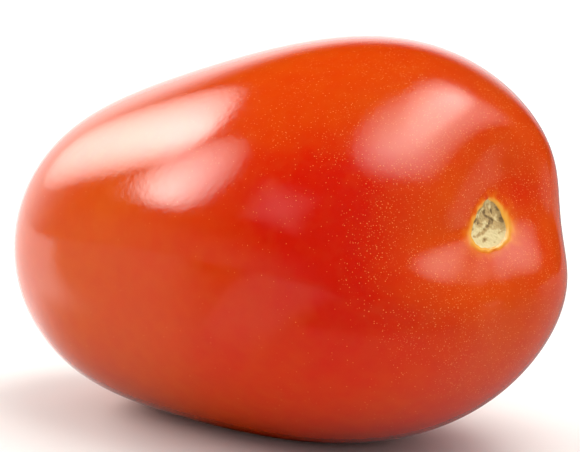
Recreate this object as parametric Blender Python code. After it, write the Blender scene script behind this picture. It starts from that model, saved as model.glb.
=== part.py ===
"""A ripe plum tomato as picked, lying on its side: one grown piece, in metres, +Z up.

The fruit lies along X, with its blossom end towards -X and its stem end towards +X. The origin is
the middle of its box, on the surface that it rests on.

The skin is one egg-shaped surface round a long axis. Shallow lobes swell towards the stem end,
where grooves and shoulders run out of the hollow round the stem scar, a corky plate in the shape of
a drop. The blossom end closes in a small dry point, and the underside is pressed flat where the
fruit rests.
"""

import math

import bmesh
import bpy
from mathutils import Matrix, Vector

MM = 0.001

# The whole fruit
FRUIT_LENGTH = 81.1 * MM  # along the long axis, before the hollow is pressed in
FRUIT_DIAMETER = 50.0 * MM
REST_TILT = math.radians(9.1)  # how far the stem end is raised as the fruit lies
FLAT_SPOT_DEPTH = 0.5 * MM  # how far the underside is pressed in

# The profile is an ellipse, times 1 + a s + b s^2 + c s^3 + d s^4 at the station s
PROFILE_TERMS = (0.176, 0.128, -0.326, -0.017)

# Lobes round the axis: how many, their swell as a share of the radius, and the angle of a crest
LOBES = (
    (2, 0.035, math.radians(51.7)),
    (3, 0.041, math.radians(61.4)),
)
LOBES_HALF_GROWN_AT = 0.1  # station where the lobes have half their swell
LOBES_GROW_OVER = 0.5

# The hollow round the stem scar
SCAR_OFF_AXIS = math.radians(8.8)
SCAR_BEARING = math.radians(141.2)
HOLLOW_DEPTH = 6.9 * MM
HOLLOW_RADIUS = 8.85 * MM
HOLLOW_EXPONENT = 2.0

# What runs out of the hollow, as its depth, where it is deepest, its bearing and its half width
# round the scar. A depth below zero is a shoulder, one above it is a groove.
FLUTES = (
    (1.62 * MM, 15.0 * MM, math.radians(-8.0), math.radians(25.7)),
    (2.02 * MM, 7.9 * MM, math.radians(39.5), math.radians(49.3)),
    (3.40 * MM, 11.3 * MM, math.radians(210.4), math.radians(41.3)),
    (-0.88 * MM, 7.6 * MM, math.radians(-74.2), math.radians(36.0)),
    (-3.18 * MM, 14.4 * MM, math.radians(-128.8), math.radians(24.6)),
    (-2.70 * MM, 15.0 * MM, math.radians(-153.6), math.radians(20.1)),
)
FLUTE_EXPONENT = 2.2  # how late they start, going out from the scar
STEM_HALF_FROM = 0.35  # station past which the hollow may press the skin in
STEM_HALF_BLEND = 0.08

# The stem scar, a drop with its point up
SCAR_HALF_WIDTH = 2.75 * MM
SCAR_ABOVE_WIDEST = 3.7 * MM
SCAR_BELOW_WIDEST = 1.8 * MM
SCAR_LEAN = 0.36  # how far it leans along Y for each metre up
SCAR_POINT_SHARPNESS = 1.6  # 2 is an ellipse, 1 is a straight-sided point
SCAR_SUNK = 0.35 * MM
SCAR_LIP = 0.10 * MM

# The dry point at the blossom end
BLOSSOM_DIMPLE_DEPTH = 0.6 * MM
BLOSSOM_DIMPLE_RADIUS = 3.2 * MM
BLOSSOM_POINT_HEIGHT = 0.7 * MM
BLOSSOM_POINT_RADIUS = 0.9 * MM

# The mesh: rings stand closer at both ends
SEGMENTS = 72
RINGS = 46
RING_CROWDING = 0.8

SKIN_COLOUR = (0.56, 0.035, 0.006, 1.0)
SKIN_ROUGHNESS = 0.22
CORK_COLOUR = (0.62, 0.50, 0.24, 1.0)
CORK_ROUGHNESS = 0.85


def profile(station):
    """Half width of the egg at a station from -1, the blossom end, to 1, the stem end."""
    swell = 1.0 + sum(term * station ** (power + 1) for power, term in enumerate(PROFILE_TERMS))
    return math.sqrt(max(0.0, 1.0 - station * station)) * swell


WIDEST = max(profile(step / 500.0 - 1.0) for step in range(1001))


def skin_radius(station, angle):
    """Distance of the lobed skin from the long axis."""
    grown = 0.5 * (1.0 + math.tanh((station - LOBES_HALF_GROWN_AT) / LOBES_GROW_OVER))
    lobed = sum(swell * math.cos(count * (angle - crest)) for count, swell, crest in LOBES)
    return FRUIT_DIAMETER / 2 * profile(station) / WIDEST * (1.0 + grown * lobed)


def scar_centre():
    """Where the stem scar's middle lies across the long axis, as Y and Z."""
    off_axis = skin_radius(math.cos(SCAR_OFF_AXIS), SCAR_BEARING)
    return off_axis * math.cos(SCAR_BEARING), off_axis * math.sin(SCAR_BEARING)


SCAR_Y, SCAR_Z = scar_centre()


def scar_measure(across, up):
    """0 in the middle of the scar, 1 on its edge and more outside it."""
    across -= SCAR_LEAN * up
    widest_below_middle = (SCAR_ABOVE_WIDEST - SCAR_BELOW_WIDEST) / 2
    up += widest_below_middle
    if up > 0.0:
        reach, sharpness = SCAR_ABOVE_WIDEST, SCAR_POINT_SHARPNESS
    else:
        reach, sharpness = SCAR_BELOW_WIDEST, 2.0
    across_share = abs(across) / SCAR_HALF_WIDTH
    up_share = abs(up) / reach
    return (across_share**sharpness + up_share**sharpness) ** (1.0 / sharpness)


def smooth_step(low, high, value):
    """0 below low, 1 above high, and a smooth rise between them."""
    share = min(1.0, max(0.0, (value - low) / (high - low)))
    return share * share * (3.0 - 2.0 * share)


def flute_depth(away, bearing):
    """How far the grooves press the skin in, less how far the shoulders stand out."""
    depth = 0.0
    for deepest, reach, middle, half_width in FLUTES:
        aside = math.remainder(bearing - middle, 2.0 * math.pi) / half_width
        near = (away / reach) ** FLUTE_EXPONENT
        depth += deepest * math.exp(-(aside**2)) * near * math.exp(1.0 - near)
    return depth


def stem_hollow(station, across, up):
    """How far the skin is pressed in round the stem scar, at a place measured from the scar."""
    away = math.hypot(across, up)
    bowl = HOLLOW_DEPTH * math.exp(-((away / HOLLOW_RADIUS) ** HOLLOW_EXPONENT))
    at_stem = 1.0 / (1.0 + math.exp(-(station - STEM_HALF_FROM) / STEM_HALF_BLEND))
    return at_stem * (bowl + flute_depth(away, math.atan2(up, across)))


def scar_relief(across, up):
    """Height of the skin's lip over the scar's edge, less the depth of the corky plate."""
    measure = scar_measure(across, up)
    lip = SCAR_LIP * math.exp(-(((measure - 1.15) / 0.15) ** 2))
    sunk = SCAR_SUNK * (1.0 - smooth_step(0.85, 1.05, measure))
    return lip - sunk


def blossom_relief(across, up):
    """Height of the dry point over the shallow dimple at the blossom end."""
    away = math.hypot(across, up)
    dimple = BLOSSOM_DIMPLE_DEPTH * math.exp(-((away / BLOSSOM_DIMPLE_RADIUS) ** 2))
    point = BLOSSOM_POINT_HEIGHT * math.exp(-((away / BLOSSOM_POINT_RADIUS) ** 2))
    return point - dimple


def skin_point(direction):
    """Place on the skin for a direction from the fruit's middle, before the fruit is laid down."""
    station = direction.x
    angle = math.atan2(direction.z, direction.y)
    radius = skin_radius(station, angle)
    y, z = radius * math.cos(angle), radius * math.sin(angle)
    x = FRUIT_LENGTH / 2 * station
    if station > 0.0:
        across, up = y - SCAR_Y, z - SCAR_Z
        x += scar_relief(across, up) - stem_hollow(station, across, up)
    else:
        x -= blossom_relief(y, z)
    return Vector((x, y, z))


def crowd_rings(direction):
    """Moves a ring of a sphere round X towards the nearer end, where the detail is."""
    polar = math.acos(max(-1.0, min(1.0, direction.x)))
    crowded = polar - RING_CROWDING / 2 * math.sin(2.0 * polar)
    angle = math.atan2(direction.z, direction.y)
    ring = math.sin(crowded)
    return Vector((math.cos(crowded), ring * math.cos(angle), ring * math.sin(angle)))


def turn_to_scar(direction):
    """Turns the stem end's pole onto the scar, and leaves the blossom end's pole on the axis."""
    turn = SCAR_OFF_AXIS * ((1.0 + direction.x) / 2) ** 2
    hinge = Vector((0.0, -math.sin(SCAR_BEARING), math.cos(SCAR_BEARING)))
    return Matrix.Rotation(turn, 3, hinge) @ direction


def lay_down(mesh):
    """Tilts the fruit as it lies, presses its underside flat and brings it to the origin."""
    tilt = Matrix.Rotation(-REST_TILT, 3, "Y")
    bmesh.ops.rotate(mesh, verts=mesh.verts, cent=(0.0, 0.0, 0.0), matrix=tilt)
    floor = min(vertex.co.z for vertex in mesh.verts) + FLAT_SPOT_DEPTH
    for vertex in mesh.verts:
        vertex.co.z = max(vertex.co.z, floor)
    low = [min(vertex.co[axis] for vertex in mesh.verts) for axis in range(3)]
    high = [max(vertex.co[axis] for vertex in mesh.verts) for axis in range(3)]
    to_origin = Vector((-(low[0] + high[0]) / 2, -(low[1] + high[1]) / 2, -floor))
    bmesh.ops.translate(mesh, verts=mesh.verts, vec=to_origin)


def material(name, colour, roughness):
    """A Principled material of one colour."""
    made = bpy.data.materials.new(name)
    made.use_nodes = True
    surface = made.node_tree.nodes["Principled BSDF"]
    surface.inputs["Base Color"].default_value = colour
    surface.inputs["Roughness"].default_value = roughness
    surface.inputs["Metallic"].default_value = 0.0
    made.diffuse_color = colour
    return made


def add_tomato():
    """Shapes a sphere into the fruit and gives its scar's faces the corky material."""
    mesh = bmesh.new()
    bmesh.ops.create_uvsphere(mesh, u_segments=SEGMENTS, v_segments=RINGS, radius=1.0)
    poles_on_x = Matrix.Rotation(math.pi / 2, 3, "Y")
    bmesh.ops.rotate(mesh, verts=mesh.verts, cent=(0.0, 0.0, 0.0), matrix=poles_on_x)
    for vertex in mesh.verts:
        vertex.co = skin_point(turn_to_scar(crowd_rings(vertex.co.normalized())))
    for face in mesh.faces:
        middle = face.calc_center_median()
        on_scar = scar_measure(middle.y - SCAR_Y, middle.z - SCAR_Z) < 1.0
        face.material_index = 1 if middle.x > 0.0 and on_scar else 0
        face.smooth = True
    lay_down(mesh)
    bmesh.ops.triangulate(mesh, faces=mesh.faces)
    bmesh.ops.recalc_face_normals(mesh, faces=mesh.faces)

    data = bpy.data.meshes.new("tomato")
    mesh.to_mesh(data)
    mesh.free()
    data.materials.append(material("tomato_skin", SKIN_COLOUR, SKIN_ROUGHNESS))
    data.materials.append(material("stem_scar_cork", CORK_COLOUR, CORK_ROUGHNESS))
    tomato = bpy.data.objects.new("tomato", data)
    bpy.context.scene.collection.objects.link(tomato)
    return tomato


def main():
    """Empties the scene and adds the fruit."""
    for old in list(bpy.context.scene.objects):
        bpy.data.objects.remove(old, do_unlink=True)
    add_tomato()


main()
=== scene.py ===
"""A ripe plum tomato lying on its side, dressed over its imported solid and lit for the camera.

The fruit is one piece: a fine skin, shaped by the same form as the solid, with the corky stem scar
and the dry blossom point modelled in it. Lengths are in metres, apart from the fields that say
millimetres, and +Z is up. The fruit lies along X with its stem end towards +X.
"""

from __future__ import annotations

import logging
import math
from dataclasses import dataclass
from enum import Enum

import bpy
import numpy as np
from mathutils import Matrix, Vector


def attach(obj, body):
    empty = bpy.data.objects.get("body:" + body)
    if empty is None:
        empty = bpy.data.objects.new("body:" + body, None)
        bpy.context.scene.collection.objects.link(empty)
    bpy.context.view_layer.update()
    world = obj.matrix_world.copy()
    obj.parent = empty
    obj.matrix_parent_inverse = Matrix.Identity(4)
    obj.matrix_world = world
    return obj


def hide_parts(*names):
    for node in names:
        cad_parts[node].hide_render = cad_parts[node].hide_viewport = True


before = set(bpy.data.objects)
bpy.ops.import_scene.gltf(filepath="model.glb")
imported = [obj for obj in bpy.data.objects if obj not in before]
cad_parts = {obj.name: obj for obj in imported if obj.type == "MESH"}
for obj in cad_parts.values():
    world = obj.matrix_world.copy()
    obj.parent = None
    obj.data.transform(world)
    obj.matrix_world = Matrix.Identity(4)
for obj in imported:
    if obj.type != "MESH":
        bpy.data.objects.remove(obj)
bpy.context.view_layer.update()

MM = 0.001
FAR = 9.0  # a measure for skin that is nowhere near the mark
PROFILE_STEPS = 1001  # stations at which the egg's widest place is looked for
NOISE_SPAN = (0.3, 0.7)  # what most of a noise lies between
WHOLE = (0.0, 1.0)  # all that a share can be
UP = (0.0, 0.0, 1.0)
BLACK = (0.0, 0.0, 0.0)
WHITE = (1.0, 1.0, 1.0)
log = logging.getLogger("tomato")

Array = np.ndarray
Colour = tuple[float, float, float]
Direction = tuple[float, float, float]
Span = tuple[float, float]
Socket = bpy.types.NodeSocket
Value = Socket | Colour | float


def smooth_step(span: Span, value: Array) -> Array:
    """A smooth rise from 0 to 1.

    Args:
        span: the value up to which the result is 0, and the one from which it is 1.
        value: the values to read.

    Returns:
        One share for each value.
    """
    low, high = span
    share = np.clip((value - low) / (high - low), 0.0, 1.0)
    return share * share * (3.0 - 2.0 * share)


def bell(middle: float, half_width: float, value: Array) -> Array:
    """A soft bell: 1 for values at its middle, and nearly 0 two half widths from it."""
    return np.exp(-(((value - middle) / half_width) ** 2))


def in_plan(across: Array, up: Array) -> Array:
    """Places across the fruit's axis as points, which an uneven field can read."""
    return np.stack([across, up, np.zeros_like(up)], axis=1)


@dataclass(frozen=True)
class Waves:
    """A smooth uneven field, the sum of plane waves of about one length in seeded directions.

    Args:
        seed: picks the directions and phases.
        length: how far it is from one crest to the next, in metres.
        count: how many waves are added.
        spread: how many crests the longest and the shortest wave have in that length.
    """

    seed: int
    length: float
    count: int = 24
    spread: Span = (0.7, 1.4)

    def at(self, points: Array) -> Array:
        """Adds up the waves.

        Args:
            points: the places, one in each row, in metres.

        Returns:
            The field at each place, about 0 with a spread of about 1.
        """
        draw = np.random.default_rng(self.seed)
        directions = draw.normal(size=(self.count, 3))
        directions /= np.linalg.norm(directions, axis=1, keepdims=True)
        turns_per_metre = draw.uniform(*self.spread, size=self.count) / self.length
        phases = draw.uniform(0.0, math.tau, size=self.count)
        steps = points @ (directions * (math.tau * turns_per_metre)[:, None]).T
        return np.cos(steps + phases).sum(axis=1) / math.sqrt(self.count / 2)


@dataclass(frozen=True)
class Lobes:
    """A set of equal lobes round the long axis.

    Args:
        count: how many there are.
        swell: how far a crest stands out, as a share of the radius.
        crest: the angle of one crest from +Y towards +Z, in degrees.
    """

    count: int
    swell: float
    crest: float

    def lift(self, angle: Array) -> Array:
        """The swell at each angle round the axis, as a share of the radius."""
        return self.swell * np.cos(self.count * (angle - math.radians(self.crest)))


@dataclass(frozen=True)
class Egg:
    """The egg-shaped body of the fruit, before its hollow is pressed in.

    Args:
        length: along the long axis.
        diameter: at its widest, before the lobes swell it.
        terms: what turns an ellipse into the egg, as factors of the station's rising powers.
        lobes: the sets of lobes.
        half_grown_at: station where the lobes have half their swell.
        grow_over: how gently they grow towards the stem end, in stations.
    """

    length: float = 81.1 * MM
    diameter: float = 50.0 * MM
    terms: tuple[float, ...] = (0.176, 0.128, -0.326, -0.017)
    lobes: tuple[Lobes, ...] = (Lobes(2, 0.035, 51.7), Lobes(3, 0.041, 61.4))
    half_grown_at: float = 0.1
    grow_over: float = 0.5

    def profile(self, station: Array) -> Array:
        """Half width of the egg, not yet to scale, at stations from -1 to 1."""
        swell = 1.0 + sum(term * station ** (power + 1) for power, term in enumerate(self.terms))
        return np.sqrt(np.clip(1.0 - station * station, 0.0, None)) * swell

    def radius(self, station: Array, angle: Array) -> Array:
        """Distance of the lobed skin from the long axis.

        Args:
            station: place along the axis, -1 at the blossom end and 1 at the stem end.
            angle: angle round the axis, from +Y towards +Z.

        Returns:
            The distance for each pair, in metres.
        """
        widest = self.profile(np.linspace(-1.0, 1.0, PROFILE_STEPS)).max()
        grown = 0.5 * (1.0 + np.tanh((station - self.half_grown_at) / self.grow_over))
        lobed = sum(lobes.lift(angle) for lobes in self.lobes)
        return self.diameter / 2 * self.profile(station) / widest * (1.0 + grown * lobed)


@dataclass(frozen=True)
class CorkMark:
    """A brown mark in the corky scar, a pit where it is deep.

    Args:
        across: distance of its middle from the scar's leaning middle line, in millimetres.
        up: distance of its middle from the scar's middle along Z, in millimetres.
        long: its half length, in millimetres.
        slim: its half width, in millimetres.
        turn: angle of its length from +Y towards +Z, in degrees.
        dark: how dark it is, from 0 to 1.
        depth: how deep it is, in millimetres.
        crispness: how suddenly it ends, where 2 is as soft as a bell.
    """

    across: float
    up: float
    long: float
    slim: float
    turn: float
    dark: float
    depth: float
    crispness: float = 3.0

    def share(self, across: Array, up: Array) -> Array:
        """How much of the mark there is.

        Args:
            across: distance from the scar's leaning middle line along Y.
            up: distance from the scar's middle along Z.

        Returns:
            1 in the mark's middle, falling to 0 past its edge.
        """
        aside = across / MM - self.across
        above = up / MM - self.up
        turn = math.radians(self.turn)
        along = (aside * math.cos(turn) + above * math.sin(turn)) / self.long
        beside = (above * math.cos(turn) - aside * math.sin(turn)) / self.slim
        return np.exp(-(np.hypot(along, beside) ** self.crispness))


CORK_MARKS = (
    CorkMark(0.95, 2.50, 0.45, 0.26, -20.0, 0.95, 0.064),
    CorkMark(-0.25, 1.42, 0.28, 0.22, 70.0, 1.00, 0.120),
    CorkMark(0.93, 1.30, 0.34, 0.15, 110.0, 0.85, 0.080),
    CorkMark(-1.90, 0.58, 0.46, 0.20, 15.0, 0.85, 0.072),
    CorkMark(-1.55, 0.78, 0.20, 0.12, 60.0, 0.70, 0.040),
    CorkMark(2.00, 1.25, 0.75, 0.26, 112.0, 0.62, 0.040),
    CorkMark(2.35, 0.35, 0.70, 0.24, 104.0, 0.80, 0.048),
    CorkMark(0.18, 0.88, 0.50, 0.10, -28.0, 0.60, 0.040),
    CorkMark(0.95, 0.40, 0.45, 0.12, -35.0, 0.80, 0.072),
    CorkMark(1.12, 0.10, 0.32, 0.13, 80.0, 0.90, 0.088),
    CorkMark(0.52, -0.20, 0.62, 0.24, 58.0, 0.70, 0.072),
    CorkMark(-0.22, -0.80, 0.66, 0.26, 40.0, 0.66, 0.072),
    CorkMark(-1.15, -1.10, 0.62, 0.22, 14.0, 0.66, 0.064),
    CorkMark(-1.95, -1.18, 0.34, 0.15, -10.0, 0.55, 0.032),
    CorkMark(-2.25, -0.30, 0.45, 0.17, 0.0, 0.60, 0.040),
    CorkMark(-0.28, -1.80, 0.45, 0.24, 25.0, 0.85, 0.080),
    CorkMark(2.10, -1.30, 0.50, 0.09, 20.0, 0.45, 0.024),
    CorkMark(1.20, -2.20, 0.40, 0.10, 35.0, 0.35, 0.020),
    CorkMark(-0.95, 2.00, 0.55, 0.12, 60.0, 0.45, 0.024),
)


@dataclass(frozen=True)
class HaloSide:
    """A side of the scar where its halo is wider, or narrower where its width is below zero.

    Args:
        width: how much wider the halo is there, as a share of the scar.
        bearing: its angle round the scar from +Y towards +Z, in radians.
        half_angle: its half width round the scar, in radians.
    """

    width: float
    bearing: float
    half_angle: float

    def at(self, bearing: Array) -> Array:
        """How much wider the halo is at each bearing from the scar."""
        return self.width * bell(self.bearing, self.half_angle, bearing)


@dataclass(frozen=True)
class StemScar:
    """The corky scar of the stem: a drop with its point up, sunk a little under the skin's lip.

    Args:
        off_axis: how far it lies from the long axis, as an angle.
        bearing: its angle round the axis, from +Y towards +Z.
        half_width: half of its width.
        above_widest: from its widest place up to its point.
        below_widest: from there down to its lower edge.
        lean: how far it leans along Y for each metre up.
        point_sharpness: 2 is an ellipse, 1 is a straight-sided point.
        uneven_edge: how uneven its edge is, as a share of its size.
        plate_span: measures between which the corky plate rises to the skin.
        sunk: how far the plate lies under the skin.
        lip: height of the skin's lip.
        lip_at: the measure where the lip is highest.
        lip_half_width: the lip's half width, as a measure.
        grain_depth: how uneven the plate is.
        grain_tone: how much browner its low places are.
        upper_span: heights between which its browner upper part starts.
        upper_slope: how much lower that starts for each metre across.
        upper_tone: how brown the upper part is.
        patchy_tone: how uneven that brown is.
        halo_width: how far the yellow halo reaches, as a share of the scar.
        halo_patchy: how uneven that is.
        halo_least: the least that it may be.
        halo_sides: the sides where it is wider or narrower.
        halo_crispness: how suddenly it ends, where 2 is as soft as a bell.
        marks: the brown marks and pits.
        edge_waves: the uneven field of the edge.
        grain: the one of the plate's grain.
        patches: the one of the brown and of the halo.
    """

    off_axis: float = math.radians(8.8)
    bearing: float = math.radians(141.2)
    half_width: float = 2.75 * MM
    above_widest: float = 3.7 * MM
    below_widest: float = 1.8 * MM
    lean: float = 0.36
    point_sharpness: float = 1.6
    uneven_edge: float = 0.014
    plate_span: Span = (0.85, 1.05)
    sunk: float = 0.35 * MM
    lip: float = 0.10 * MM
    lip_at: float = 1.12
    lip_half_width: float = 0.12
    grain_depth: float = 0.025 * MM
    grain_tone: float = 0.10
    upper_span: Span = (-1.4 * MM, 0.2 * MM)
    upper_slope: float = 0.25
    upper_tone: float = 0.46
    patchy_tone: float = 0.14
    halo_width: float = 0.42
    halo_patchy: float = 0.06
    halo_least: float = 0.04
    halo_sides: tuple[HaloSide, ...] = (
        HaloSide(0.30, -0.45, 0.8),
        HaloSide(0.12, -2.6, 0.6),
        HaloSide(-0.30, 1.5, 0.8),
    )
    halo_crispness: float = 1.4
    marks: tuple[CorkMark, ...] = CORK_MARKS
    edge_waves: Waves = Waves(11, 1.1 * MM)
    grain: Waves = Waves(12, 0.42 * MM, 40)
    patches: Waves = Waves(13, 1.5 * MM)

    def measure(self, across: Array, up: Array) -> Array:
        """0 in the middle of the scar, 1 on its edge and more outside it.

        Args:
            across: distance from the scar's middle along Y.
            up: distance from the scar's middle along Z.

        Returns:
            The measure at each place.
        """
        across = across - self.lean * up
        lifted = up + (self.above_widest - self.below_widest) / 2
        pointed = lifted > 0.0
        reach = np.where(pointed, self.above_widest, self.below_widest)
        sharpness = np.where(pointed, self.point_sharpness, 2.0)  # an ellipse below its widest place
        across_share = np.abs(across) / self.half_width
        up_share = np.abs(lifted) / reach
        smooth = (across_share**sharpness + up_share**sharpness) ** (1.0 / sharpness)
        return smooth * (1.0 + self.uneven_edge * self.edge_waves.at(in_plan(across, up)))

    def halo(self, measure: Array, bearing: Array, patches: Array) -> Array:
        """The share of yellow in the skin round the scar.

        Args:
            measure: 1 on the scar's edge and more outside it.
            bearing: angle round the scar's middle, from +Y towards +Z.
            patches: the uneven field at each place.

        Returns:
            1 at the scar's edge, falling to 0 further out.
        """
        wide = self.halo_width + self.halo_patchy * patches
        wide = wide + sum(side.at(bearing) for side in self.halo_sides)
        outside = np.clip(measure - 1.0, 0.0, None)
        return np.exp(-((outside / np.maximum(wide, self.halo_least)) ** self.halo_crispness))

    def relief(self, across: Array, up: Array) -> tuple[Array, dict[str, Array]]:
        """Height of the skin's lip over the scar's edge, less the depth of the corky plate.

        Args:
            across: distance from the scar's middle along Y.
            up: distance from the scar's middle along Z.

        Returns:
            The height at each place, and what the finishes read there.
        """
        measure = self.measure(across, up)
        grain = self.grain.at(in_plan(across, up))
        patches = self.patches.at(in_plan(across, up))
        shares = [mark.share(across - self.lean * up, up) for mark in self.marks]
        clear = np.prod([1.0 - mark.dark * share for mark, share in zip(self.marks, shares)], axis=0)
        upper = smooth_step(self.upper_span, up + self.upper_slope * across)
        brown = upper * (self.upper_tone + self.patchy_tone * patches) + self.grain_tone * grain
        pits = sum(mark.depth * MM * share for mark, share in zip(self.marks, shares))
        plate = self.sunk + pits + self.grain_depth * grain
        lip = self.lip * bell(self.lip_at, self.lip_half_width, measure)
        marks = {
            "scar": measure,
            "cork_tone": np.clip(1.0 - clear + brown, 0.0, 1.0),
            "halo": self.halo(measure, np.arctan2(up, across), patches),
        }
        return lip - (1.0 - smooth_step(self.plate_span, measure)) * plate, marks


@dataclass(frozen=True)
class Flute:
    """A groove, or a shoulder where its depth is below zero, that runs out of the hollow.

    Args:
        depth: how far it is pressed in, in millimetres.
        reach: how far from the scar it is deepest, in millimetres.
        bearing: its angle round the scar from +Y towards +Z, in degrees.
        half_width: its half width round the scar, in degrees.
        exponent: how late it starts, going out from the scar.
    """

    depth: float
    reach: float
    bearing: float
    half_width: float
    exponent: float = 2.2

    def depth_at(self, away: Array, bearing: Array) -> Array:
        """How far the skin is pressed in.

        Args:
            away: distance from the scar's middle.
            bearing: angle round it, from +Y towards +Z.

        Returns:
            The depth at each place, in metres.
        """
        turned = bearing - math.radians(self.bearing)
        turned = np.arctan2(np.sin(turned), np.cos(turned))
        near = (away / (self.reach * MM)) ** self.exponent
        beside = bell(0.0, math.radians(self.half_width), turned)
        return self.depth * MM * beside * near * np.exp(1.0 - near)


@dataclass(frozen=True)
class StemHollow:
    """The hollow round the scar, with the grooves and shoulders that run out of it.

    Args:
        depth: of the bowl alone, under the scar.
        radius: how far the bowl reaches.
        flutes: the grooves and shoulders.
        from_station: station past which all of this may press the skin in.
        blend: how gently it starts there, in stations.
    """

    depth: float = 6.9 * MM
    radius: float = 8.85 * MM
    flutes: tuple[Flute, ...] = (
        Flute(1.62, 15.0, -8.0, 25.7),
        Flute(2.02, 7.9, 39.5, 49.3),
        Flute(3.40, 11.3, 210.4, 41.3),
        Flute(-0.88, 7.6, -74.2, 36.0),
        Flute(-3.18, 14.4, -128.8, 24.6),
        Flute(-2.70, 15.0, -153.6, 20.1),
    )
    from_station: float = 0.35
    blend: float = 0.08

    def depth_at(self, station: Array, across: Array, up: Array) -> Array:
        """How far the skin is pressed in.

        Args:
            station: place along the fruit's axis, from -1 to 1.
            across: distance from the scar's middle along Y.
            up: distance from the scar's middle along Z.

        Returns:
            The depth along the axis at each place, in metres.
        """
        away = np.hypot(across, up)
        bearing = np.arctan2(up, across)
        bowl = self.depth * bell(0.0, self.radius, away)
        at_stem = 1.0 / (1.0 + np.exp(-(station - self.from_station) / self.blend))
        return at_stem * (bowl + sum(flute.depth_at(away, bearing) for flute in self.flutes))


@dataclass(frozen=True)
class BlossomPoint:
    """The dry point in its shallow dimple at the blossom end.

    Args:
        dimple_depth: of the dimple.
        dimple_radius: how far the dimple reaches.
        height: of the point over the dimple.
        radius: how far the point reaches.
        grain: the uneven field of the point.
        grain_depth: how uneven the point is.
    """

    dimple_depth: float = 0.6 * MM
    dimple_radius: float = 3.2 * MM
    height: float = 0.7 * MM
    radius: float = 0.9 * MM
    grain: Waves = Waves(21, 0.5 * MM, 32)
    grain_depth: float = 0.06 * MM

    def relief(self, across: Array, up: Array) -> Array:
        """Height of the point over the dimple.

        Args:
            across: distance from the long axis along Y.
            up: distance from the long axis along Z.

        Returns:
            The height at each place, in metres.
        """
        away = np.hypot(across, up)
        height = self.height + self.grain_depth * self.grain.at(in_plan(across, up))
        dimple = self.dimple_depth * bell(0.0, self.dimple_radius, away)
        return height * bell(0.0, self.radius, away) - dimple


@dataclass(frozen=True)
class SoftPatch:
    """A soft round patch of skin near the scar.

    Args:
        across: distance of its middle from the scar's middle along Y, in millimetres.
        up: the same along Z.
        half_across: its half width, in millimetres.
        half_up: its half height, in millimetres.
    """

    across: float
    up: float
    half_across: float
    half_up: float

    def share(self, across: Array, up: Array) -> Array:
        """1 in the patch's middle, falling to 0 round it."""
        beside = bell(self.across * MM, self.half_across * MM, across)
        return beside * bell(self.up * MM, self.half_up * MM, up)


@dataclass(frozen=True)
class RipenessAndLitTop:
    """How orange the skin is, from 0 where it is ripest to 1 where it is least ripe; along the top
    some of the orange is painted light, laid where the top is most brightly lit.

    Args:
        cheek: share of orange on the rest of the skin.
        blossom_half: share of orange at the blossom end.
        blossom_span: stations, counted towards the blossom end, between which that comes up.
        stem_end: share of orange at the stem end.
        stem_span: stations between which that comes up.
        upper_side: share of orange along the top, painted light for the brightly lit top.
        upper_span: heights between which that comes up, where the top is 1.
        underside: share of orange along the bottom.
        under_span: depths between which that comes up, where the bottom is 1.
        ripest: how much redder the ripest cheek is.
        ripest_station: where along the fruit that cheek is.
        ripest_reach: how far it reaches along the fruit, in stations.
        ripest_angle: its angle round the axis, in degrees.
        ripest_half_angle: how far it reaches round the axis, in degrees.
        groove: how much redder the groove beside the scar is.
        groove_patch: where that groove is.
        patchy: how uneven the ripening is in large patches.
        mottled: how uneven it is in small ones.
        patches: the uneven field of the large patches.
        mottles: the one of the small ones.
    """

    cheek: float = 0.22
    blossom_half: float = 0.97
    blossom_span: Span = (-0.55, 0.72)
    stem_end: float = 0.50
    stem_span: Span = (0.66, 0.92)
    upper_side: float = 0.5
    upper_span: Span = (0.55, 1.0)
    underside: float = 0.2
    under_span: Span = (0.5, 1.0)
    ripest: float = 0.3
    ripest_station: float = 0.58
    ripest_reach: float = 0.16
    ripest_angle: float = 170.0
    ripest_half_angle: float = 28.0
    groove: float = 0.38
    groove_patch: SoftPatch = SoftPatch(6.5, 3.0, 4.0, 3.0)
    patchy: float = 0.05
    mottled: float = 0.015
    patches: Waves = Waves(31, 17.0 * MM)
    mottles: Waves = Waves(32, 5.0 * MM)

    def at(self, station: Array, angle: Array, points: Array, groove: Array) -> Array:
        """The share of orange at each point of the skin.

        Args:
            station: place along the axis, -1 at the blossom end and 1 at the stem end.
            angle: angle round the axis, from +Y towards +Z.
            points: the places, in metres.
            groove: 1 in the groove beside the scar and 0 elsewhere.

        Returns:
            One share for each point.
        """
        height = np.sin(angle)
        # painted light: the brightly lit top is given more orange
        upper_side = self.upper_side * smooth_step(self.upper_span, height)
        stem_end = self.stem_end * smooth_step(self.stem_span, station)
        shares = (
            np.full_like(height, self.cheek),
            self.blossom_half * smooth_step(self.blossom_span, -station),
            np.maximum(upper_side, stem_end),
            self.underside * smooth_step(self.under_span, -height),
        )
        turned = np.arccos(np.cos(angle - math.radians(self.ripest_angle)))
        ripest = self.ripest * bell(0.0, math.radians(self.ripest_half_angle), turned)
        ripest = ripest * bell(self.ripest_station, self.ripest_reach, station)
        red = np.prod([1.0 - share for share in shares], axis=0) + ripest + self.groove * groove
        uneven = self.patchy * self.patches.at(points) + self.mottled * self.mottles.at(points)
        return np.clip(1.0 - red + uneven, 0.0, 1.0)


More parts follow.
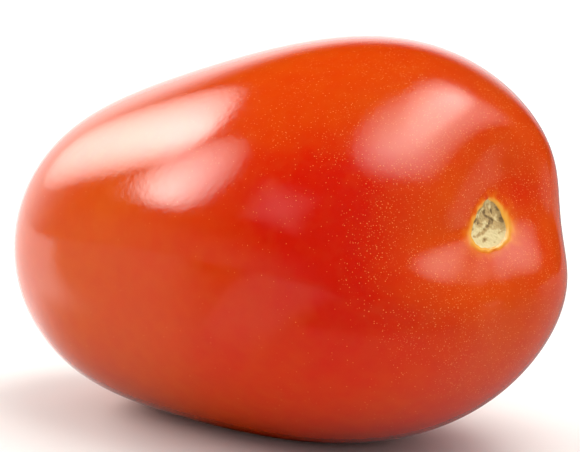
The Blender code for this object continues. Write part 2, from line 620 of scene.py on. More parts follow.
@dataclass(frozen=True)
class FleckDensity:
    """How densely the skin is flecked: most at the stem end, and less down the upper side.

    Args:
        everywhere: share of the foam's cells that hold a fleck on the rest of the skin.
        stem_half: how much more there is of them on the stem half.
        stem_half_span: stations between which that comes up.
        stem_end: how much more there is of them at the stem end.
        stem_end_span: stations between which that comes up.
        upper_side: how much more there is of them along the top.
        upper_span: heights between which that comes up, where the top is 1.
        upper_stations: stations between which that comes up.
        patchy: how uneven all of this is.
        least: the least factor that the unevenness may give.
        most: the largest one.
        patches: the uneven field.
    """

    everywhere: float = 0.015
    stem_half: float = 0.05
    stem_half_span: Span = (0.0, 0.6)
    stem_end: float = 1.1
    stem_end_span: Span = (0.56, 0.84)
    upper_side: float = 0.50
    upper_span: Span = (0.2, 0.8)
    upper_stations: Span = (-0.1, 0.5)
    patchy: float = 0.35
    least: float = 0.2
    most: float = 2.0
    patches: Waves = Waves(41, 9.0 * MM)

    def at(self, station: Array, angle: Array, points: Array) -> Array:
        """The share of cells that hold a fleck, at each point of the skin.

        Args:
            station: place along the axis, -1 at the blossom end and 1 at the stem end.
            angle: angle round the axis, from +Y towards +Z.
            points: the places, in metres.

        Returns:
            One share for each point.
        """
        stem_half = self.stem_half * smooth_step(self.stem_half_span, station)
        stem_end = self.stem_end * smooth_step(self.stem_end_span, station)
        upper_side = self.upper_side * smooth_step(self.upper_span, np.sin(angle))
        upper_side = upper_side * smooth_step(self.upper_stations, station)
        share = self.everywhere + stem_half + np.maximum(stem_end, upper_side)
        return share * np.clip(1.0 + self.patchy * self.patches.at(points), self.least, self.most)


@dataclass(frozen=True)
class Fruit:
    """The whole fruit: its form, how it lies, and the piece made of it.

    Args:
        egg: its body.
        scar: the corky scar of its stem.
        hollow: the hollow round the scar.
        blossom: the dry point at its other end.
        ripeness_and_lit_top: how its colour changes over it.
        flecks: how densely it is flecked.
        rest_tilt: how far the stem end is raised as the fruit lies.
        flat_depth: how far the underside is pressed in.
        segments: how many faces the first sphere has round its axis.
        rings: how many rings of faces it has.
        subdivisions: how often its faces are divided.
        ring_crowding: how much closer the rings stand at both ends.
    """

    egg: Egg = Egg()
    scar: StemScar = StemScar()
    hollow: StemHollow = StemHollow()
    blossom: BlossomPoint = BlossomPoint()
    ripeness_and_lit_top: RipenessAndLitTop = RipenessAndLitTop()
    flecks: FleckDensity = FleckDensity()
    rest_tilt: float = math.radians(9.1)
    flat_depth: float = 0.5 * MM
    segments: int = 72
    rings: int = 84
    subdivisions: int = 2
    ring_crowding: float = 0.8

    def directions(self, sphere: Array) -> Array:
        """Moves a sphere's rings towards both ends and turns its stem pole onto the scar.

        Args:
            sphere: unit vectors, one in each row, with the poles on X.

        Returns:
            The unit vectors that the skin is shaped from.
        """
        polar = np.arccos(np.clip(sphere[:, 0], -1.0, 1.0))
        polar = polar - self.ring_crowding / 2 * np.sin(2.0 * polar)
        angle = np.arctan2(sphere[:, 2], sphere[:, 1])
        along, out = np.cos(polar), np.sin(polar)
        y, z = out * np.cos(angle), out * np.sin(angle)
        scar_y, scar_z = math.cos(self.scar.bearing), math.sin(self.scar.bearing)
        towards_scar = y * scar_y + z * scar_z
        beside_scar = z * scar_y - y * scar_z
        turn = self.scar.off_axis * ((1.0 + along) / 2) ** 2
        turned = along * np.sin(turn) + towards_scar * np.cos(turn)
        return np.stack(
            [
                along * np.cos(turn) - towards_scar * np.sin(turn),
                turned * scar_y - beside_scar * scar_z,
                turned * scar_z + beside_scar * scar_y,
            ],
            axis=1,
        )

    def scar_place(self) -> tuple[float, float]:
        """Finds the middle of the scar.

        Returns:
            Where it lies across the axis, as Y and Z.
        """
        station = np.array([math.cos(self.scar.off_axis)])
        off_axis = float(self.egg.radius(station, np.array([self.scar.bearing]))[0])
        return off_axis * math.cos(self.scar.bearing), off_axis * math.sin(self.scar.bearing)

    def shape(self, directions: Array) -> tuple[Array, dict[str, Array]]:
        """Places the skin before the fruit is laid down.

        Args:
            directions: unit vectors from the fruit's middle.

        Returns:
            The points of the skin, and what the finishes read at each of them.
        """
        station = directions[:, 0]
        angle = np.arctan2(directions[:, 2], directions[:, 1])
        radius = self.egg.radius(station, angle)
        y, z = radius * np.cos(angle), radius * np.sin(angle)
        scar_y, scar_z = self.scar_place()
        across, up = y - scar_y, z - scar_z
        at_stem = station > 0.0
        pressed = self.hollow.depth_at(station, across, up)
        scar_relief, scar_marks = self.scar.relief(across, up)
        x = self.egg.length / 2 * station
        x = x + np.where(at_stem, scar_relief - pressed, -self.blossom.relief(y, z))
        points = np.stack([x, y, z], axis=1)
        groove = np.where(at_stem, self.ripeness_and_lit_top.groove_patch.share(across, up), 0.0)
        marks = {
            "scar": np.where(at_stem, scar_marks["scar"], FAR),
            "cork_tone": np.where(at_stem, scar_marks["cork_tone"], 0.0),
            "halo": np.where(at_stem, scar_marks["halo"], 0.0),
            "blossom": np.where(at_stem, FAR, np.hypot(y, z) / self.blossom.radius),
            "orange": self.ripeness_and_lit_top.at(station, angle, points, groove),
            "flecked": self.flecks.at(station, angle, points),
            "station": station,
        }
        return points, marks

    def lay_down(self, points: Array) -> tuple[Array, Vector]:
        """Tilts the fruit as it lies, presses its underside flat and brings it to the origin.

        Args:
            points: the skin's points round the fruit's own middle.

        Returns:
            The points as the fruit lies, and where its middle went.
        """
        tilt = np.array(Matrix.Rotation(-self.rest_tilt, 3, "Y"))
        points = points @ tilt.T
        floor = points[:, 2].min() + self.flat_depth
        points[:, 2] = np.maximum(points[:, 2], floor)
        low, high = points.min(axis=0), points.max(axis=0)
        shift = np.array([-(low[0] + high[0]) / 2, -(low[1] + high[1]) / 2, -floor])
        return points + shift, Vector(shift)

    def add_sphere(self) -> bpy.types.Object:
        """Adds the fine sphere that becomes the skin.

        Returns:
            The piece, with the sphere's poles on X.
        """
        bpy.ops.object.select_all(action="DESELECT")
        bpy.ops.mesh.primitive_uv_sphere_add(
            segments=self.segments, ring_count=self.rings, radius=1.0, rotation=(0.0, math.pi / 2, 0.0)
        )
        piece = bpy.context.object
        piece.name = piece.data.name = "tomato_skin"
        bpy.ops.object.transform_apply(location=True, rotation=True, scale=True)
        finer = piece.modifiers.new("finer", "SUBSURF")
        finer.subdivision_type = "SIMPLE"
        finer.levels = self.subdivisions
        bpy.ops.object.modifier_apply(modifier=finer.name)
        return piece

    def build(self) -> tuple[bpy.types.Object, Vector]:
        """Models the skin from a sphere.

        Returns:
            The piece, and the place of the fruit's middle.
        """
        piece = self.add_sphere()
        mesh = piece.data
        sphere = np.empty(len(mesh.vertices) * 3)
        mesh.vertices.foreach_get("co", sphere)
        sphere = sphere.reshape(-1, 3)
        sphere /= np.linalg.norm(sphere, axis=1, keepdims=True)
        points, marks = self.shape(self.directions(sphere))
        points, middle = self.lay_down(points)
        mesh.vertices.foreach_set("co", points.ravel())
        for name, values in marks.items():
            mesh.attributes.new(name, "FLOAT", "POINT").data.foreach_set("value", values)
        mesh.update()
        bpy.ops.object.mode_set(mode="EDIT")
        bpy.ops.mesh.select_all(action="SELECT")
        bpy.ops.mesh.normals_make_consistent(inside=False)
        bpy.ops.object.mode_set(mode="OBJECT")
        bpy.ops.object.shade_smooth()
        return piece, middle


class Nodes:
    """Builds a material's or a world's nodes in short calls."""

    def __init__(self, tree: bpy.types.NodeTree) -> None:
        """Starts from a tree that already holds its output."""
        self.tree = tree

    def add(self, kind: str, **settings: object) -> bpy.types.Node:
        """Adds a node.

        Args:
            kind: its type.
            settings: the properties to set on it.

        Returns:
            The node.
        """
        node = self.tree.nodes.new(kind)
        for name, value in settings.items():
            setattr(node, name, value)
        return node

    def feed(self, socket: Socket, value: Value) -> None:
        """Links a socket to another one, or sets it to a plain value.

        Args:
            socket: the input to feed.
            value: another node's output, a colour, a direction or a number.
        """
        if isinstance(value, Socket):
            self.tree.links.new(value, socket)
        elif isinstance(value, tuple) and socket.type == "RGBA":
            socket.default_value = (*value, 1.0)
        else:
            socket.default_value = value

    def math(self, operation: str, first: Value, second: Value = 0.0) -> Socket:
        """Works out one operation on one or two numbers.

        Args:
            operation: what the Math node is to do.
            first: the first number.
            second: the second one, where the operation has two.

        Returns:
            The result.
        """
        node = self.add("ShaderNodeMath", operation=operation)
        self.feed(node.inputs[0], first)
        self.feed(node.inputs[1], second)
        return node.outputs[0]

    def product(self, first: Value, *factors: Value) -> Socket:
        """Multiplies numbers.

        Args:
            first: the first number.
            factors: the ones that it is multiplied by, in turn.

        Returns:
            The product.
        """
        for factor in factors:
            first = self.math("MULTIPLY", first, factor)
        return first

    def ramp(self, value: Value, span: Span, to_low: Value = 0.0, to_high: Value = 1.0) -> Socket:
        """Changes smoothly from one number to another.

        Args:
            value: what the change follows.
            span: where it starts and where it ends.
            to_low: the result up to its start.
            to_high: the result from its end.

        Returns:
            The result.
        """
        node = self.add("ShaderNodeMapRange", interpolation_type="SMOOTHSTEP")
        for socket, given in zip(node.inputs, (value, *span, to_low, to_high)):
            self.feed(socket, given)
        return node.outputs[0]

    def mix(self, share: Value, below: Value, above: Value) -> Socket:
        """Lays one colour over another.

        Args:
            share: how much of the upper colour shows.
            below: the lower colour.
            above: the upper colour.

        Returns:
            The colour that shows.
        """
        node = self.add("ShaderNodeMix", data_type="RGBA")
        self.feed(node.inputs["Factor"], share)
        self.feed(node.inputs[6], below)  # the node's colours come after those for other kinds
        self.feed(node.inputs[7], above)
        return node.outputs[2]

    def mark(self, name: str) -> Socket:
        """A number that the mesh holds at each point."""
        return self.add("ShaderNodeAttribute", attribute_name=name).outputs["Fac"]

    def place(self) -> Socket:
        """The shaded place, in metres."""
        return self.add("ShaderNodeTexCoord").outputs["Object"]

    def noise(self, size: float, detail: float = 3.0) -> Socket:
        """Soft noise about 0.5.

        Args:
            size: the size of its lumps, in metres.
            detail: how many times finer lumps are laid over them.

        Returns:
            The noise.
        """
        node = self.add("ShaderNodeTexNoise")
        self.feed(node.inputs["Vector"], self.place())
        node.inputs["Scale"].default_value = 1.0 / size
        node.inputs["Detail"].default_value = detail
        return node.outputs[0]

    def uneven(self, size: float, reach: float, detail: float = 3.0) -> Socket:
        """Soft noise with lumps of a size in metres, that reaches as far below 0 as above it."""
        return self.ramp(self.noise(size, detail), NOISE_SPAN, -reach, reach)

    def vector(self, operation: str, first: Value, output: str) -> tuple[bpy.types.Node, Socket]:
        """Adds an operation on a vector.

        Args:
            operation: what the Vector Math node is to do.
            first: the vector.
            output: which of the node's results is wanted.

        Returns:
            The node, and the result.
        """
        node = self.add("ShaderNodeVectorMath", operation=operation)
        self.feed(node.inputs[0], first)
        return node, node.outputs[output]

    def length(self, vector: Value) -> Socket:
        """The length of a vector."""
        return self.vector("LENGTH", vector, "Value")[1]

    def unit(self, vector: Value) -> Socket:
        """A vector of length 1 in a vector's direction."""
        return self.vector("NORMALIZE", vector, "Vector")[1]

    def dot(self, vector: Value, along: Direction) -> Socket:
        """Measures a vector along a direction.

        Args:
            vector: the vector.
            along: the direction, of length 1.

        Returns:
            How far the vector reaches along it.
        """
        node, reach = self.vector("DOT_PRODUCT", vector, "Value")
        self.feed(node.inputs[1], along)
        return reach


def new_material(name: str) -> tuple[bpy.types.Material, Nodes, bpy.types.Node]:
    """Adds a material.

    Args:
        name: its name.

    Returns:
        The material, its nodes, and the one of them that is its surface.
    """
    material = bpy.data.materials.new(name)
    material.use_nodes = True
    return material, Nodes(material.node_tree), material.node_tree.nodes["Principled BSDF"]


def add_plane(name: str, size: float, material: bpy.types.Material) -> bpy.types.Object:
    """Adds a level plane about the origin.

    Args:
        name: its name.
        size: how long each of its sides is.
        material: what it is made of.

    Returns:
        The plane.
    """
    bpy.ops.object.select_all(action="DESELECT")
    bpy.ops.mesh.primitive_plane_add(size=size)
    plane = bpy.context.object
    plane.name = name
    plane.data.materials.append(material)
    return plane


@dataclass(frozen=True)
class Flecks:
    """Small pale flecks under the skin, one at most in each cell of a random foam.

    Args:
        cell: the size of the foam's cells.
        smallest: the smallest fleck's radius, as a share of a cell.
        largest: the largest one's.
        edge: between which shares of its radius a fleck fades.
        opacity: how much the faintest and the plainest fleck cover.
        colour: their colour.
    """

    cell: float = 0.24 * MM
    smallest: float = 0.16
    largest: float = 0.38
    edge: Span = (0.45, 1.0)
    opacity: Span = (0.22, 0.85)
    colour: Colour = (0.80, 0.26, 0.065)

    def over(self, nodes: Nodes, colour: Value) -> tuple[Socket, Socket]:
        """Lays the flecks over a colour.

        Args:
            nodes: the material's nodes.
            colour: the skin's colour.

        Returns:
            The colour with its flecks, and how much of a fleck there is.
        """
        foam = nodes.add("ShaderNodeTexVoronoi")
        nodes.feed(foam.inputs["Vector"], nodes.place())
        foam.inputs["Scale"].default_value = 1.0 / self.cell
        draws = nodes.add("ShaderNodeSeparateColor")
        nodes.feed(draws.inputs[0], foam.outputs["Color"])
        chosen = nodes.math("LESS_THAN", draws.outputs[0], nodes.mark("flecked"))
        size = nodes.ramp(draws.outputs[1], WHOLE, self.smallest, self.largest)
        inside = nodes.math("DIVIDE", foam.outputs["Distance"], size)
        covering = nodes.ramp(draws.outputs[2], WHOLE, *self.opacity)
        fleck = nodes.product(nodes.ramp(inside, self.edge, 1.0, 0.0), chosen, covering)
        return nodes.mix(fleck, colour, self.colour), fleck


@dataclass(frozen=True)
class Cork:
    """The dry, corky plate of the stem scar, with a yellow halo in the skin round it.

    Args:
        cream: the plate's own colour.
        tan: its colour where it is marked.
        tan_span: tones between which that comes up.
        pit: its colour in the pits.
        pit_span: tones between which that comes up.
        speckle: how uneven the tone is.
        speckle_size: the size of its speckles.
        halo_skin: the skin's colour in the halo.
        halo_span: shares of the halo between which that comes up.
        halo_cover: how much it covers at most.
        rim: the halo's colour at the plate's edge.
        rim_span: shares of the halo between which that comes up.
        rim_cover: how much it covers at most.
        roughness: the plate's roughness.
    """

    cream: Colour = (0.66, 0.54, 0.28)
    tan: Colour = (0.45, 0.30, 0.115)
    tan_span: Span = (0.05, 0.55)
    pit: Colour = (0.18, 0.105, 0.036)
    pit_span: Span = (0.55, 1.1)
    speckle: float = 0.08
    speckle_size: float = 0.3 * MM
    halo_skin: Colour = (0.68, 0.135, 0.006)
    halo_span: Span = (0.02, 0.75)
    halo_cover: float = 0.92
    rim: Colour = (0.78, 0.39, 0.055)
    rim_span: Span = (0.5, 1.0)
    rim_cover: float = 0.9
    roughness: float = 0.8

    def colour(self, nodes: Nodes) -> Socket:
        """The plate's colour: cream, tan where it is marked and brown in its pits.

        Args:
            nodes: the material's nodes.

        Returns:
            The colour.
        """
        uneven = nodes.uneven(self.speckle_size, self.speckle)
        tone = nodes.math("ADD", nodes.mark("cork_tone"), uneven)
        browned = nodes.mix(nodes.ramp(tone, self.tan_span), self.cream, self.tan)
        return nodes.mix(nodes.ramp(tone, self.pit_span), browned, self.pit)

    def halo(self, nodes: Nodes, skin: Value) -> Socket:
        """Lays the halo over the skin's colour.

        Args:
            nodes: the material's nodes.
            skin: the skin's colour.

        Returns:
            The colour with the halo.
        """
        near = nodes.mark("halo")
        wide = nodes.mix(nodes.ramp(near, self.halo_span, 0.0, self.halo_cover), skin, self.halo_skin)
        return nodes.mix(nodes.ramp(near, self.rim_span, 0.0, self.rim_cover), wide, self.rim)


@dataclass(frozen=True)
class SkinFinish:
    """Glossy ripe skin: deep red on its cheeks and more orange at both ends, with pale flecks.

    Args:
        deep_red: the ripest skin's colour.
        orange_red: the least ripe skin's colour, also laid along the lit top as painted light.
        mottle: how uneven the ripening is from one small place to the next.
        mottle_size: the size of those places.
        flecks: the flecks in it.
        cork: the plate of the stem scar.
        plate_span: measures of the scar between which the plate ends.
        dry_tip: the dry blossom point's colour.
        tip_span: measures of the point between which it ends.
        tip_cover: how much that colour covers.
        tip_roughness: the point's roughness.
        roughness: the skin's roughness.
        stem_end_roughness: its roughness at the stem end.
        stem_end_span: stations between which that comes up.
        sheen: how uneven the roughness is.
        sheen_size: the size of its uneven places.
        bump_height: the height of the skin's fine unevenness.
        bump_size: the size of that.
        fleck_lift: how much a fleck adds to it.
        fine: how many times finer lumps are laid over the mottle and the sheen.
        bump_fine: the same for the bumps.
    """

    deep_red: Colour = (0.56, 0.0085, 0.0007)
    orange_red: Colour = (0.60, 0.0750, 0.0016)
    mottle: float = 0.06
    mottle_size: float = 2.2 * MM
    flecks: Flecks = Flecks()
    cork: Cork = Cork()
    plate_span: Span = (0.98, 1.02)
    dry_tip: Colour = (0.20, 0.085, 0.03)
    tip_span: Span = (0.55, 1.15)
    tip_cover: float = 0.9
    tip_roughness: float = 0.7
    roughness: float = 0.11
    stem_end_roughness: float = 0.18
    stem_end_span: Span = (0.4, 0.9)
    sheen: float = 0.02
    sheen_size: float = 1.1 * MM
    bump_height: float = 0.012 * MM
    bump_size: float = 0.8 * MM
    fleck_lift: float = 0.15
    fine: float = 4.0
    bump_fine: float = 2.0

    def colour(self, nodes: Nodes, tip: Socket, plate: Socket) -> tuple[Socket, Socket]:
        """The colour of the whole fruit.

        Args:
            nodes: the material's nodes.
            tip: the share of the dry blossom point.
            plate: the share of the corky plate.

        Returns:
            The colour, and how much of a fleck there is.
        """
        mottle = nodes.uneven(self.mottle_size, self.mottle, self.fine)
        # the orange share holds painted light along the lit top as well as the ripening
        mottled = nodes.math("ADD", nodes.mark("orange"), mottle)
        skin, fleck = self.flecks.over(nodes, nodes.mix(mottled, self.deep_red, self.orange_red))
        skin = self.cork.halo(nodes, skin)
        skin = nodes.mix(nodes.product(tip, self.tip_cover), skin, self.dry_tip)
        return nodes.mix(plate, skin, self.cork.colour(nodes)), fleck

    def gloss(self, nodes: Nodes, tip: Socket, plate: Socket) -> Socket:
        """The roughness of the whole fruit.

        Args:
            nodes: the material's nodes.
            tip: the share of the dry blossom point.
            plate: the share of the corky plate.

        Returns:
            The roughness.
        """
        station = nodes.mark("station")
        skin = nodes.ramp(station, self.stem_end_span, self.roughness, self.stem_end_roughness)
        skin = nodes.math("ADD", skin, nodes.uneven(self.sheen_size, self.sheen, self.fine))
        skin = nodes.ramp(tip, WHOLE, skin, self.tip_roughness)
        return nodes.ramp(plate, WHOLE, skin, self.cork.roughness)

    def bump(self, nodes: Nodes, fleck: Socket) -> Socket:
        """The skin's fine unevenness.

        Args:
            nodes: the material's nodes.
            fleck: how much of a fleck there is.

        Returns:
            The normal.
        """
        bump = nodes.add("ShaderNodeBump")
        bump.inputs["Strength"].default_value = 1.0
        bump.inputs["Distance"].default_value = self.bump_height
        lifted = nodes.product(fleck, self.fleck_lift)
        height = nodes.math("ADD", nodes.noise(self.bump_size, self.bump_fine), lifted)
        nodes.feed(bump.inputs["Height"], height)
        return bump.outputs[0]

    def make(self) -> bpy.types.Material:
        """Builds the material.

        Returns:
            The material of the whole fruit.
        """
        material, nodes, surface = new_material("tomato_skin")
        tip = nodes.ramp(nodes.mark("blossom"), self.tip_span, 1.0, 0.0)
        plate = nodes.ramp(nodes.mark("scar"), self.plate_span, 1.0, 0.0)
        colour, fleck = self.colour(nodes, tip, plate)
        nodes.feed(surface.inputs["Base Color"], colour)
        nodes.feed(surface.inputs["Roughness"], self.gloss(nodes, tip, plate))
        nodes.feed(surface.inputs["Normal"], self.bump(nodes, fleck))
        return material


@dataclass(frozen=True)
class PhotoCamera:
    """The camera that the fruit's outline was fitted with.

    Args:
        azimuth: degrees that it is turned left from looking along +Y.
        elevation: degrees that it looks down.
        distance: from the fruit.
        pixels_per_metre: its scale at the fruit.
        frame_width: the picture's width, in pixels.
        frame_height: the picture's height, in pixels.
        middle_x: pixel that the fruit's middle falls on, from the left.
        middle_y: the same, from the top.
        sensor_width: in millimetres.
        near: the nearest that it sees.
        far: the furthest that it sees.
    """

    azimuth: float = 39.66
    elevation: float = 12.0
    distance: float = 0.6
    pixels_per_metre: float = 7980.0
    frame_width: int = 580
    frame_height: int = 452
    middle_x: float = 294.2
    middle_y: float = 243.8
    sensor_width: float = 36.0
    near: float = 0.01
    far: float = 20.0

    def towards(self, bearing: float) -> Direction:
        """The level direction at a bearing, in degrees to the right of straight ahead."""
        turn = math.radians(self.azimuth - bearing)
        return (-math.sin(turn), math.cos(turn), 0.0)

    def axes(self) -> tuple[Vector, Vector, Vector]:
        """Works out how the camera is turned.

        Returns:
            Its right, up and back directions.
        """
        rise = math.radians(self.elevation)
        right = Vector(self.towards(90.0))
        back = Vector(UP) * math.sin(rise) - Vector(self.towards(0.0)) * math.cos(rise)
        return right, back.cross(right), back

    def add(self, middle: Vector) -> None:
        """Adds the camera and makes it the scene's.

        Args:
            middle: the fruit's middle, which falls on the frame's named pixel.
        """
        right, up, back = self.axes()
        aside = (self.frame_width / 2 - self.middle_x) / self.pixels_per_metre
        above = (self.middle_y - self.frame_height / 2) / self.pixels_per_metre
        target = middle + right * aside + up * above
        data = bpy.data.cameras.new("photo_camera")
        data.sensor_width = self.sensor_width
        data.lens = self.pixels_per_metre * self.distance * self.sensor_width / self.frame_width
        data.clip_start = self.near
        data.clip_end = self.far
        camera = bpy.data.objects.new("photo_camera", data)
        turned = Matrix((right, up, back)).transposed().to_4x4()
        camera.matrix_world = Matrix.Translation(target + back * self.distance) @ turned
        bpy.context.scene.collection.objects.link(camera)
        bpy.context.scene.camera = camera


class Outline(Enum):
    """The shape of a softbox's front, named as area lights name it."""

    SQUARE = "RECTANGLE"
    ROUND = "ELLIPSE"

    @property
    def filled(self) -> float:
        """The share of its bounding rectangle that the shape fills."""
        return math.pi / 4 if self is Outline.ROUND else 1.0


@dataclass(frozen=True)
class Softbox:
    """A softbox that faces the fruit, brighter in its middle than at its edge.

    Args:
        name: the light's name.
        bearing: degrees to the right of straight ahead, as the camera looks.
        height: degrees above the horizon.
        wide: degrees that it spans from side to side.
        tall: degrees that it spans from top to bottom.
        turn: degrees that its wide side rises to the right, seen from the fruit.
        radiance: its brightness, where the lit floor is about 1.
        fade: how far its brightness falls off, as a share of its size.
        core_up: how far its brightest part lies towards its top, from -1 to 1.
        core_across: how far that lies towards its right side, from -1 to 1.
        lighting: share of its panels, from the innermost out, that light matt surfaces too.
        outline: the shape of its front.
        colour: the colour of its light.
        panels: how many nested panels make up the fall.
        distance: from the fruit.
        spacing: how far each panel stands in front of the one outside it.
    """

    name: str
    bearing: float
    height: float
    wide: float
    tall: float
    turn: float
    radiance: float
    fade: float = 0.15
    core_up: float = 0.0
    core_across: float = 0.0
    lighting: float = 1.0
    outline: Outline = Outline.ROUND
    colour: Colour = (1.0, 0.985, 0.92)
    panels: int = 8
    distance: float = 1.2
    spacing: float = 0.01

    def axes(self, camera: PhotoCamera) -> tuple[Vector, Vector, Vector]:
        """Works out how the softbox is turned.

        Args:
            camera: the camera that the bearing is measured from.

        Returns:
            Its side and top directions, and the one from the fruit towards it.
        """
        height, turn = math.radians(self.height), math.radians(self.turn)
        out = Vector(camera.towards(self.bearing))
        level = Vector(camera.towards(self.bearing + 90.0))
        towards = out * math.cos(height) + Vector(UP) * math.sin(height)
        side = level * math.cos(turn) + level.cross(towards) * math.sin(turn)
        return side, towards.cross(side), towards

    def add(self, camera: PhotoCamera, middle: Vector) -> None:
        """Adds the light as nested panels.

        Args:
            camera: the camera that the bearing is measured from.
            middle: the place that the light faces.
        """
        side, top, towards = self.axes(camera)
        turned = Matrix((side, top, towards)).transposed().to_4x4()
        half_wide = self.distance * math.tan(math.radians(self.wide / 2))
        half_tall = self.distance * math.tan(math.radians(self.tall / 2))
        scales = np.linspace(1.0 + self.fade, 1.0 - self.fade, self.panels).tolist()
        for panel, scale in enumerate(scales):
            data = bpy.data.lights.new(f"{self.name}_{panel}", "AREA")
            data.shape = self.outline.value
            data.size = 2.0 * half_wide * scale
            data.size_y = 2.0 * half_tall * scale
            data.color = self.colour
            area = data.size * data.size_y * self.outline.filled
            data.energy = self.radiance / self.panels * math.pi * area
            light = bpy.data.objects.new(data.name, data)
            inset = scales[0] - scale
            place = middle + towards * (self.distance - self.spacing * panel)
            place += top * (self.core_up * inset * half_tall)
            place += side * (self.core_across * inset * half_wide)
            light.matrix_world = Matrix.Translation(place) @ turned
            light.visible_camera = False
            light.visible_diffuse = panel >= (1.0 - self.lighting) * self.panels
            bpy.context.scene.collection.objects.link(light)


SOFTBOXES = (
    Softbox("left_far_box", -44.0, 26.0, 22.2, 19.8, -37.0, 9.6, 0.62, -0.20, -0.70),
    Softbox("left_near_box", -74.6, 31.0, 14.6, 20.2, -15.0, 9.9, 0.68, 0.55, 0.20),
    Softbox("overhead_box", 100.0, 63.5, 31.8, 47.2, -31.1, 6.4, 0.84, -0.42, 0.06, lighting=0.875),
    Softbox("overhead_core", 69.9, 67.0, 16.3, 25.2, -68.7, 8.1, 0.97, 0.27, 0.19, lighting=0.75),
    Softbox("front_left_card", -121.0, 36.5, 20.5, 15.0, 0.0, 1.0, 0.6, outline=Outline.SQUARE),
)


class Ray(Enum):
    """What a ray that reaches the world came from, named as the Light Path node names it."""

    CAMERA = "Is Camera Ray"
    SHINE = "Is Glossy Ray"


@dataclass(frozen=True)
class Glow:
    """A soft bright part of the room.

    Args:
        radiance: its brightness, where the lit floor is about 1.
        bearing: degrees to the right of straight ahead of its middle.
        spread: cosines of the angles from its middle where it starts and where it is full.
        top: sines of the heights where it starts to fade and where it is gone.
    """

    radiance: float
    bearing: float
    spread: Span
    top: Span

    def at(self, nodes: Nodes, camera: PhotoCamera, direction: Value) -> Socket:
        """The glow's radiance in each direction.

        Args:
            nodes: the nodes to build in.
            camera: the camera that the bearing is measured from.
            direction: the direction, of length 1.

        Returns:
            The radiance.
        """
        towards = nodes.dot(direction, camera.towards(self.bearing))
        height = nodes.dot(direction, UP)
        full = nodes.ramp(towards, self.spread, 0.0, self.radiance)
        return nodes.product(full, nodes.ramp(height, self.top, 1.0, 0.0))


@dataclass(frozen=True)
class MirroredRoom:
    """What the skin mirrors of the room: a bright wall low down behind the fruit, and little else.

    Args:
        wall: the wall.
        left: a dim glow low down on the left.
        right: a brighter one at the horizon on the right.
    """

    wall: Glow = Glow(1.45, -17.0, (0.66, 0.97), (0.22, 0.46))
    left: Glow = Glow(0.22, -90.0, (0.4, 0.9), (0.05, 0.3))
    right: Glow = Glow(0.55, 79.0, (0.92, 0.99), (0.0, 0.12))

    def radiance(self, nodes: Nodes, camera: PhotoCamera, direction: Value) -> Socket:
        """The room's radiance in each direction.

        Args:
            nodes: the nodes to build in.
            camera: the camera that the bearings are measured from.
            direction: the direction, of length 1.

        Returns:
            The radiance.
        """
        radiance = self.wall.at(nodes, camera, direction)
        for glow in (self.left, self.right):
            radiance = nodes.math("ADD", radiance, glow.at(nodes, camera, direction))
        return radiance


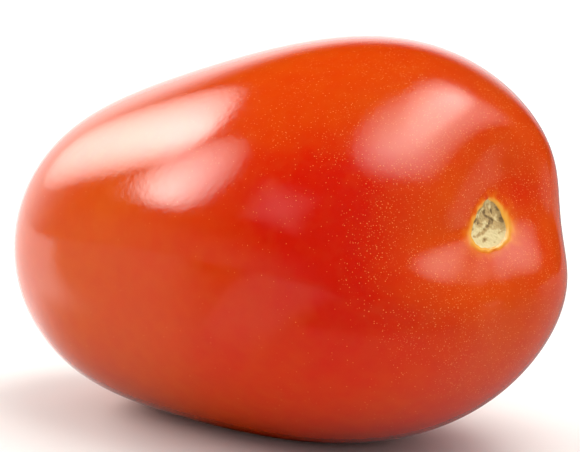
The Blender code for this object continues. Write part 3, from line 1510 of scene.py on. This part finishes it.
@dataclass(frozen=True)
class MirroredFloor:
    """What the glossy skin mirrors of the ground: bright behind the fruit and dim in front of it.

    It is a plane that only mirrored rays meet, so that the floor in the picture stays evenly pale.
    Distances behind, in front and to the sides are measured from the origin, as the camera looks.

    Args:
        size: how long each side of the plane is.
        dim: its radiance in front of the fruit.
        beside: how much brighter it is beside and behind the fruit.
        beside_span: distances behind between which that comes up.
        far_aside: share of both that is left further out on each side.
        far_aside_span: distances to a side between which that comes in.
        behind: how much brighter still it is behind the fruit on the left.
        behind_from: degrees to the right of straight ahead of the line where that part starts.
        behind_edge: distances past that line between which it comes up.
        behind_clear: distances from the origin between which it comes up.
        behind_close: distances behind between which it comes up nearer the origin too.
        behind_right: distances to the right between which it ends.
        in_front: distances behind, below zero as they are in front, between which black turns dim.
        under: distances from the origin between which the ground comes out of the fruit's shade.
        front: radiance of the soft streak in front of the fruit on the left.
        front_bearing: degrees to the right of straight ahead of that streak.
        front_spread: cosines of the angles from it where it starts and where it is full.
        horizon: distances from the origin between which the ground turns into the room.
    """

    size: float = 4.0
    dim: float = 0.20
    beside: float = 0.42
    beside_span: Span = (-0.045, 0.0)
    far_aside: float = 0.6
    far_aside_span: Span = (0.015, 0.05)
    behind: float = 1.25
    behind_from: float = -66.0
    behind_edge: Span = (-0.0215, -0.0095)
    behind_clear: Span = (0.045, 0.08)
    behind_close: Span = (0.005, 0.035)
    behind_right: Span = (-0.02, 0.04)
    in_front: Span = (-0.06, -0.044)
    under: Span = (0.006, 0.055)
    front: float = 0.42
    front_bearing: float = -135.0
    front_spread: Span = (0.92, 0.99)
    horizon: Span = (0.3, 1.5)

    def bright_part(self, nodes: Nodes, camera: PhotoCamera, place: Socket) -> Socket:
        """How much brighter the ground is behind the fruit on the left.

        Args:
            nodes: the plane's nodes.
            camera: the camera that the places are measured from.
            place: the place on the plane.

        Returns:
            The radiance to add.
        """
        past_edge = nodes.dot(place, camera.towards(self.behind_from + 90.0))
        clear = nodes.ramp(nodes.length(place), self.behind_clear)
        close = nodes.ramp(nodes.dot(place, camera.towards(0.0)), self.behind_close)
        return nodes.product(
            nodes.ramp(past_edge, self.behind_edge, 0.0, self.behind),
            nodes.math("MAXIMUM", clear, close),
            nodes.ramp(nodes.dot(place, camera.towards(90.0)), self.behind_right, 1.0, 0.0),
        )

    def radiance(self, nodes: Nodes, camera: PhotoCamera, room: MirroredRoom) -> Socket:
        """The radiance at each place of the plane.

        Args:
            nodes: the plane's nodes.
            camera: the camera that the places are measured from.
            room: the room that the plane turns into far out.

        Returns:
            The radiance.
        """
        place = nodes.place()
        out = nodes.length(place)
        behind = nodes.dot(place, camera.towards(0.0))
        aside = nodes.math("ABSOLUTE", nodes.dot(place, camera.towards(90.0)))
        shade = nodes.ramp(out, self.under)
        lit = nodes.ramp(behind, self.beside_span, self.dim, self.dim + self.beside)
        lit = nodes.product(lit, nodes.ramp(aside, self.far_aside_span, 1.0, self.far_aside))
        lit = nodes.math("ADD", lit, self.bright_part(nodes, camera, place))
        lit = nodes.product(lit, nodes.ramp(behind, self.in_front), shade)
        level = nodes.unit(place)
        towards_streak = nodes.dot(level, camera.towards(self.front_bearing))
        streak = nodes.product(nodes.ramp(towards_streak, self.front_spread, 0.0, self.front), shade)
        lit = nodes.math("MAXIMUM", lit, streak)
        return nodes.ramp(out, self.horizon, lit, room.radiance(nodes, camera, level))

    def add(self, camera: PhotoCamera, room: MirroredRoom) -> None:
        """Adds the plane.

        Args:
            camera: the camera that its brightness is laid out for.
            room: the room that it turns into far out.
        """
        material, nodes, surface = new_material("mirrored_floor")
        nodes.feed(surface.inputs["Base Color"], BLACK)
        nodes.feed(surface.inputs["Specular IOR Level"], 0.0)
        nodes.feed(surface.inputs["Emission Color"], WHITE)
        nodes.feed(surface.inputs["Emission Strength"], self.radiance(nodes, camera, room))
        plane = add_plane("mirrored_floor", self.size, material)
        plane.visible_camera = plane.visible_diffuse = plane.visible_shadow = False


@dataclass(frozen=True)
class Studio:
    """The pale floor, and the light from all round.

    Args:
        floor_size: how long each side of the floor is.
        floor_colour: the floor's colour.
        floor_roughness: the floor's roughness.
        backdrop: radiance that the camera sees past the floor.
        fill: radiance that lights the fruit and the floor from all round.
        room: what the skin mirrors of the room.
    """

    floor_size: float = 6.0
    floor_colour: Colour = (0.85, 0.85, 0.85)
    floor_roughness: float = 0.9
    backdrop: float = 1.0
    fill: float = 0.64
    room: MirroredRoom = MirroredRoom()

    def add_floor(self) -> None:
        """Adds the floor, which isn't part of the fruit and isn't mirrored in it."""
        material, nodes, surface = new_material("pale_floor")
        nodes.feed(surface.inputs["Base Color"], self.floor_colour)
        nodes.feed(surface.inputs["Roughness"], self.floor_roughness)
        nodes.feed(surface.inputs["Specular IOR Level"], 0.0)
        floor = add_plane("floor", self.floor_size, material)
        floor.visible_glossy = False

    def add_world(self, camera: PhotoCamera) -> None:
        """Adds the light from all round.

        Args:
            camera: the camera that the directions are measured from.
        """
        world = bpy.data.worlds.new("studio")
        world.use_nodes = True
        nodes = Nodes(world.node_tree)
        background = world.node_tree.nodes["Background"]
        path = nodes.add("ShaderNodeLightPath")
        direction = nodes.add("ShaderNodeTexCoord").outputs["Generated"]
        mirrored = self.room.radiance(nodes, camera, direction)
        light = nodes.ramp(path.outputs[Ray.SHINE.value], WHOLE, self.fill, mirrored)
        light = nodes.ramp(path.outputs[Ray.CAMERA.value], WHOLE, light, self.backdrop)
        nodes.feed(background.inputs["Color"], WHITE)
        nodes.feed(background.inputs["Strength"], light)
        bpy.context.scene.world = world


def main() -> None:
    """Builds the fruit, the studio and the camera, and reports each piece."""
    logging.basicConfig(level=logging.INFO, format="%(message)s")
    fruit = Fruit()
    skin, middle = fruit.build()
    skin.data.materials.append(SkinFinish().make())
    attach(skin, "root")
    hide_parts("tomato")
    log.info("%s: %d faces", skin.name, len(skin.data.polygons))

    studio = Studio()
    camera = PhotoCamera()
    studio.add_floor()
    MirroredFloor().add(camera, studio.room)
    studio.add_world(camera)
    for softbox in SOFTBOXES:
        softbox.add(camera, middle)
    camera.add(middle)
    bpy.context.scene.view_settings.view_transform = "Standard"


if __name__ == "__main__":
    main()
